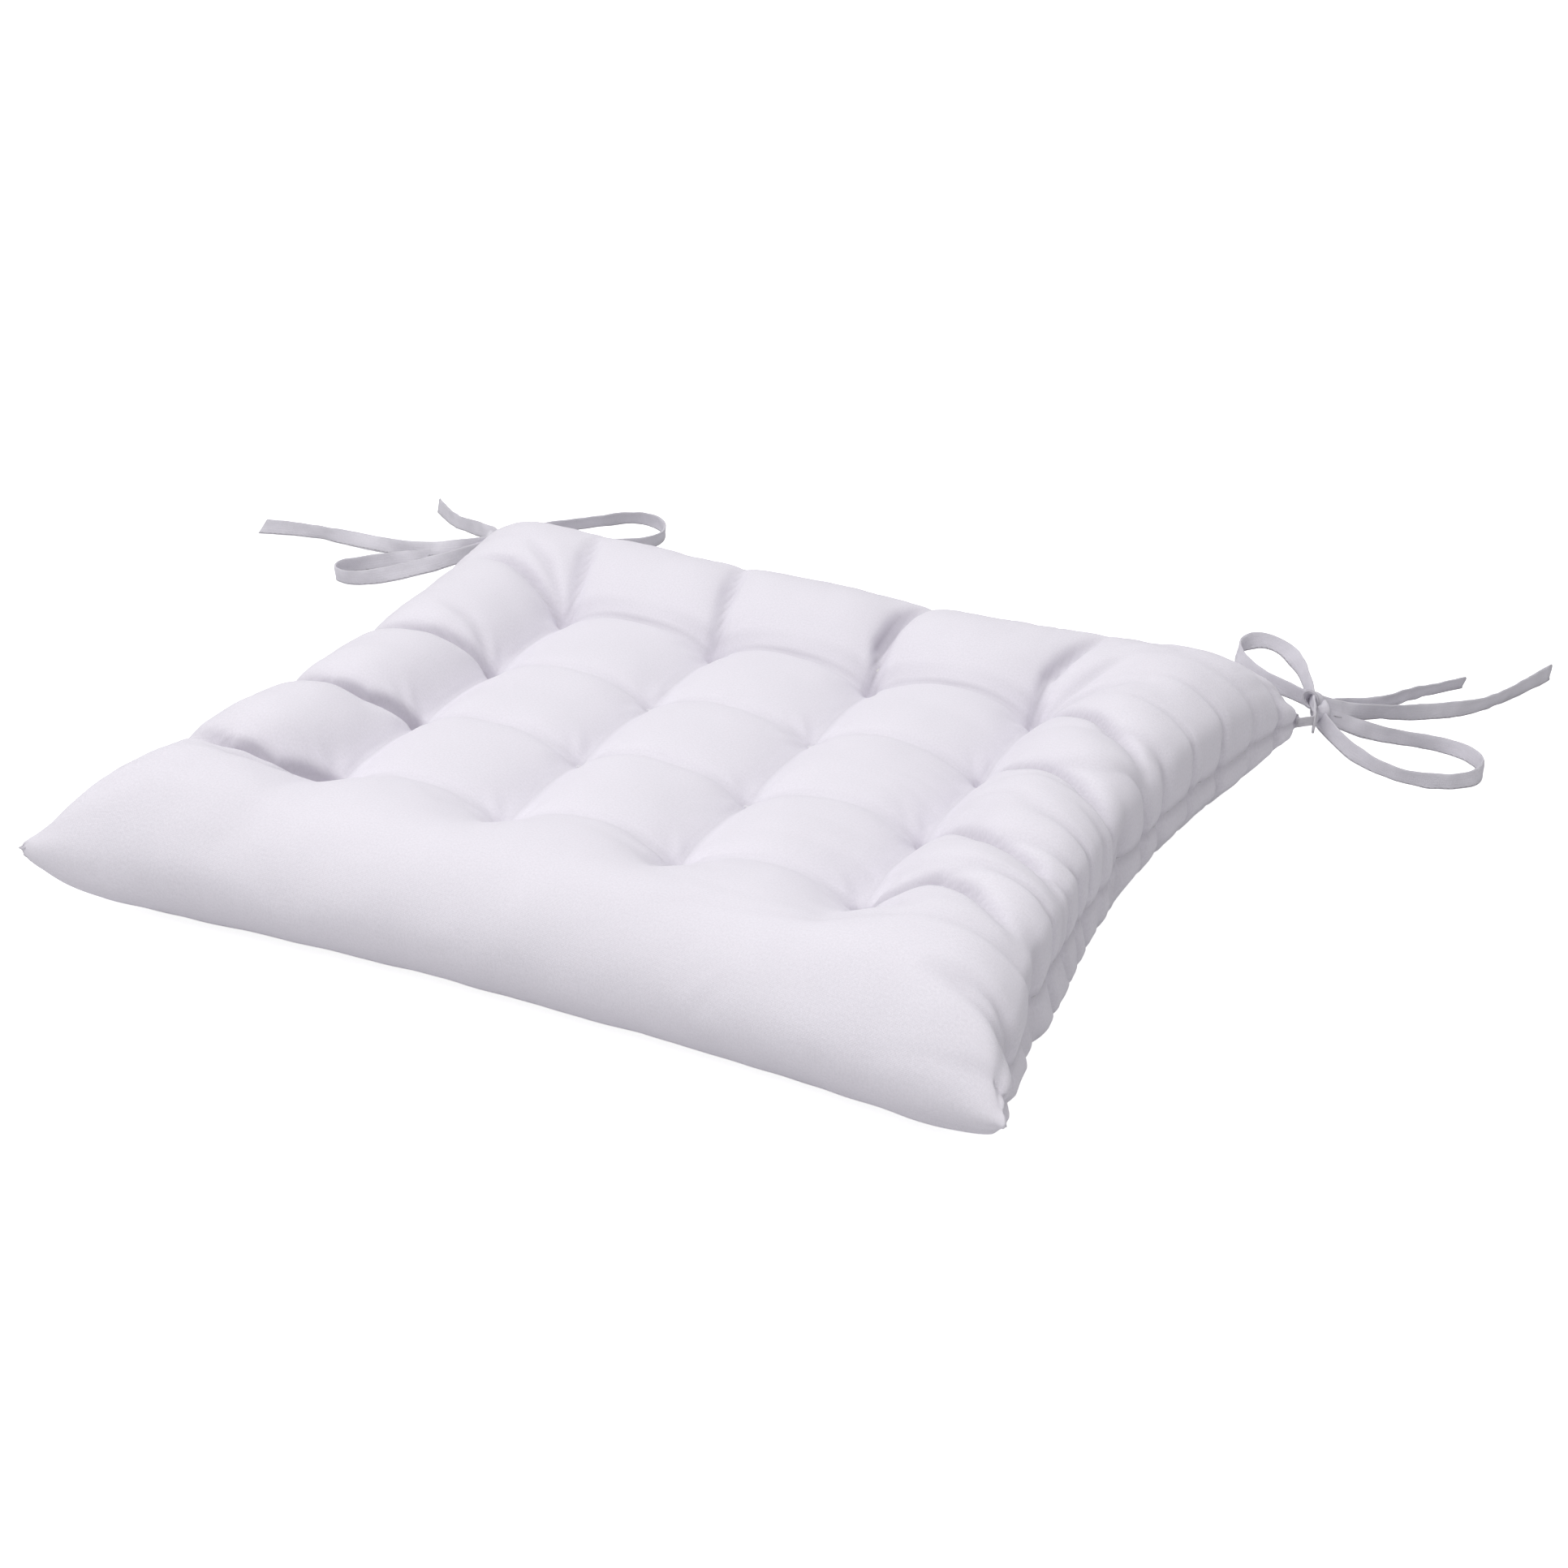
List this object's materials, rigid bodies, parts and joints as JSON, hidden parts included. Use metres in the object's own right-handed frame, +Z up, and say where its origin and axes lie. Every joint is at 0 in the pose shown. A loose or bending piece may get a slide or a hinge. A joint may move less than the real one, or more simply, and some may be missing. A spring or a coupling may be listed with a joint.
{
  "type": "chair seat pad",
  "caption": "Square tufted chair seat pad in pale cloth with pointed corners and flat ties knotted in a bow at each rear corner.",
  "frame": {"origin": "on the surface the pad rests on, below the middle of the pad's plan", "axes": "+X to the pad's right, +Y from the front fold to the rear seam where the ties are, +Z up"},
  "size_m": [0.6284, 0.5269, 0.0663],
  "materials": {
    "cover_cloth": "fine plain weave, brushed, matt",
    "tie_cloth": "same cloth folded flat and edge stitched, matt",
    "fibre_filling": "loose white polyester fibre",
    "thread": "twisted sewing thread, slight sheen"
  },
  "bodies": {
    "pad": {"corner_tack_left": "thread", "corner_tack_right": "thread", "cover": "cover_cloth", "filling": "fibre_filling", "seam_thread_left": "thread", "seam_thread_rear": "thread", "seam_thread_right": "thread", "tuft_thread_11": "thread", "tuft_thread_12": "thread", "tuft_thread_13": "thread", "tuft_thread_14": "thread", "tuft_thread_21": "thread", "tuft_thread_22": "thread", "tuft_thread_23": "thread", "tuft_thread_24": "thread", "tuft_thread_31": "thread", "tuft_thread_32": "thread", "tuft_thread_33": "thread", "tuft_thread_34": "thread", "tuft_thread_41": "thread", "tuft_thread_42": "thread", "tuft_thread_43": "thread", "tuft_thread_44": "thread"},
    "bow_right": {"tie_right_lower": "tie_cloth", "tie_right_upper": "tie_cloth"},
    "bow_left": {"tie_left_lower": "tie_cloth", "tie_left_upper": "tie_cloth"}
  },
  "joints": [
    {"name": "bow_right_swing", "type": "hinge", "parent": "pad", "child": "bow_right", "pos_m": [0.20325, 0.18325, 0.026], "axis": [0, 0, 1], "range_deg": [-60, 15]},
    {"name": "bow_left_swing", "type": "hinge", "parent": "pad", "child": "bow_left", "pos_m": [-0.20325, 0.18325, 0.026], "axis": [0, 0, 1], "range_deg": [-15, 60]}
  ]
}
